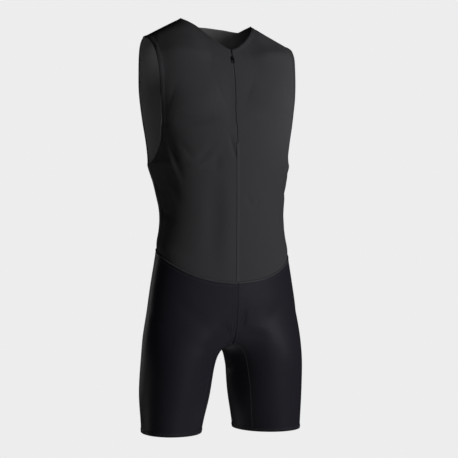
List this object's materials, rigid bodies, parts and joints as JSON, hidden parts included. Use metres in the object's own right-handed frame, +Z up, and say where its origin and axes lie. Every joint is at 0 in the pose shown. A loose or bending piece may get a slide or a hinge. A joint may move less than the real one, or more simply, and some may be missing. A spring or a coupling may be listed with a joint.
{
  "type": "sleeveless athletics bodysuit",
  "caption": "Sleeveless short-legged athletics bodysuit in black stretch knit with a short centre-front zip, kept in its worn, hollow form.",
  "frame": {"origin": "between the shoulders of the wearer, level with the lowest part of the neck opening's back", "axes": "+Z up, the garment's front faces -Y, +X towards the wearer's left"},
  "size_m": [0.3659, 0.205, 0.8821],
  "materials": {
    "top_knit": "matt charcoal-black stretch knit",
    "shorts_knit": "black stretch knit with a soft satin sheen",
    "zip_tape": "matt woven tape",
    "zip_metal": "black satin paint"
  },
  "bodies": {
    "suit": {"front_right": "top_knit", "front_left": "top_knit", "back": "top_knit", "leg_right": "shorts_knit", "leg_left": "shorts_knit", "zip_tape_right": "zip_tape", "zip_tape_left": "zip_tape", "zip_slider": "zip_metal"},
    "pull": {"zip_pull": "zip_metal"}
  },
  "joints": [
    {"name": "pull_swing", "type": "hinge", "parent": "suit", "child": "pull", "pos_m": [0, -0.07341, -0.08582], "axis": [-1, 0, 0], "range_deg": [0, 150]}
  ]
}
